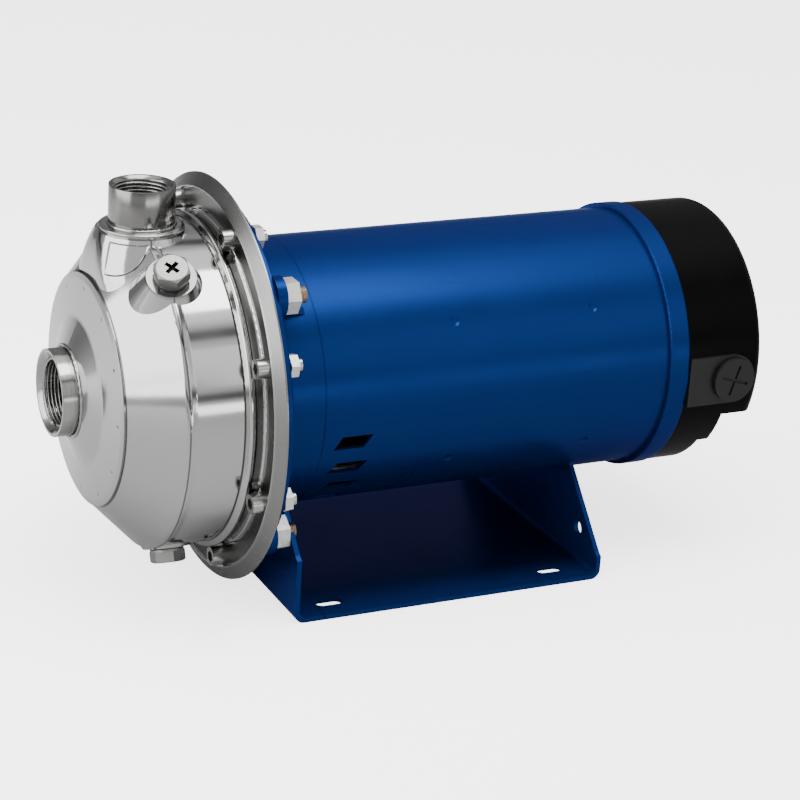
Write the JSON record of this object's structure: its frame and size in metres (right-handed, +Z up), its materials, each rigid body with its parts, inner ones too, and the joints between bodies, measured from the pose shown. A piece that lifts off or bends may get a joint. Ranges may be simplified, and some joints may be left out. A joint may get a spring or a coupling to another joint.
{
  "type": "centrifugal pump",
  "caption": "Close-coupled end-suction centrifugal pump: stamped stainless pump end with threaded ports, blue round-frame motor, black rear cover and a bent sheet base.",
  "frame": {"origin": "underside of the base, in the middle of its four bolt slots", "axes": "+X along the shaft towards the motor, +Z up along the discharge port; the plugs and the conduit entry face -Y"},
  "size_m": [0.4474, 0.249, 0.252],
  "materials": {
    "stainless": "stamped stainless steel, polished, with soft reflections",
    "zinc": "bright zinc plate",
    "stud_steel": "yellow passivated zinc",
    "shaft_steel": "ground steel",
    "bearing_steel": "polished bearing steel",
    "core_steel": "laminated sheet steel",
    "cast_aluminium": "as cast",
    "copper": "enamelled copper wire, varnished",
    "blue_paint": "glossy blue enamel",
    "black_plastic": "black moulded plastic",
    "grey_plate": "dark grey paint",
    "rubber": "black rubber",
    "seal_black": "carbon and phenolic",
    "ceramic": "white ceramic",
    "board_brown": "phenolic board"
  },
  "bodies": {
    "pump": {"adapter_nuts": "zinc", "adapter_studs": "stud_steel", "base": "blue_paint", "capacitor_clip": "zinc", "casing": "stainless", "casing_gasket": "rubber", "conduit_plate": "grey_plate", "cover_screws": "zinc", "diffuser": "stainless", "discharge_boss": "stainless", "discharge_collar": "stainless", "flange_nuts": "zinc", "flange_screws": "stainless", "front_bearing_outer_ring": "bearing_steel", "motor_adapter": "blue_paint", "motor_shell": "blue_paint", "rear_bearing_outer_ring": "bearing_steel", "rear_cover": "black_plastic", "rear_end_bell": "blue_paint", "seal_housing": "stainless", "seal_seat": "ceramic", "start_capacitor": "black_plastic", "start_switch": "board_brown", "stator_core": "core_steel", "stator_windings": "copper", "suction_boss": "stainless", "terminal_board": "board_brown", "through_bolts": "zinc", "wave_washer": "shaft_steel", "wear_ring": "rubber"},
    "rotor": {"motor_shaft": "shaft_steel", "impeller": "stainless", "impeller_key": "shaft_steel", "impeller_washer": "stainless", "impeller_nut": "stainless", "seal_head": "seal_black", "seal_spring": "shaft_steel", "seal_spring_holder": "stainless", "water_slinger": "rubber", "front_bearing_inner_ring": "bearing_steel", "rear_bearing_inner_ring": "bearing_steel", "rotor_core": "core_steel", "rotor_end_rings": "cast_aluminium", "governor": "seal_black"},
    "front_balls": {"front_bearing_balls": "bearing_steel"},
    "rear_balls": {"rear_bearing_balls": "bearing_steel"},
    "governor_collar": {"governor_collar": "seal_black"},
    "fill_plug_washer": {"fill_plug_seal": "rubber"},
    "fill_plug": {"fill_plug": "stainless"},
    "drain_plug_washer": {"drain_plug_seal": "rubber"},
    "drain_plug": {"drain_plug": "stainless"},
    "conduit_washer": {"conduit_gasket": "rubber"},
    "conduit_plug": {"conduit_plug": "grey_plate"}
  },
  "joints": [
    {"name": "shaft_turn", "type": "hinge", "parent": "pump", "child": "rotor", "pos_m": [0, 0, 0.127], "axis": [1, 0, 0], "continuous": true},
    {"name": "front_balls_roll", "type": "hinge", "parent": "pump", "child": "front_balls", "pos_m": [0, 0, 0.127], "axis": [1, 0, 0], "continuous": true},
    {"name": "rear_balls_roll", "type": "hinge", "parent": "pump", "child": "rear_balls", "pos_m": [0, 0, 0.127], "axis": [1, 0, 0], "continuous": true},
    {"name": "governor_slide", "type": "slide", "parent": "rotor", "child": "governor_collar", "axis": [-1, 0, 0], "range_m": [0, 0.003]},
    {"name": "fill_plug_lift", "type": "slide", "parent": "pump", "child": "fill_plug_washer", "axis": [-0.1736, -0.5364, 0.8259], "range_m": [0, 0.00564]},
    {"name": "fill_plug_turn", "type": "hinge", "parent": "fill_plug_washer", "child": "fill_plug", "pos_m": [-0.175, -0.05555, 0.21254], "axis": [-0.1736, -0.5364, 0.8259], "range_deg": [0, 1440]},
    {"name": "drain_plug_lift", "type": "slide", "parent": "pump", "child": "drain_plug_washer", "axis": [0, -0.3746, -0.9272], "range_m": [0, 0.00564]},
    {"name": "drain_plug_turn", "type": "hinge", "parent": "drain_plug_washer", "child": "drain_plug", "pos_m": [-0.1665, -0.03739, 0.03447], "axis": [0, -0.3746, -0.9272], "range_deg": [0, 1440]},
    {"name": "conduit_plug_lift", "type": "slide", "parent": "pump", "child": "conduit_washer", "axis": [0, -1, 0], "range_m": [0, 0.00816]},
    {"name": "conduit_plug_turn", "type": "hinge", "parent": "conduit_washer", "child": "conduit_plug", "pos_m": [0.193, -0.0862, 0.122], "axis": [0, -1, 0], "range_deg": [0, 1620]}
  ],
  "couplings": [
    {"joint": "front_balls_roll", "follows": "shaft_turn", "ratio": 0.38158},
    {"joint": "rear_balls_roll", "follows": "shaft_turn", "ratio": 0.38158},
    {"joint": "fill_plug_turn", "follows": "fill_plug_lift", "rad_per_m": 4453},
    {"joint": "drain_plug_turn", "follows": "drain_plug_lift", "rad_per_m": 4453},
    {"joint": "conduit_plug_turn", "follows": "conduit_plug_lift", "rad_per_m": 3463.7}
  ]
}
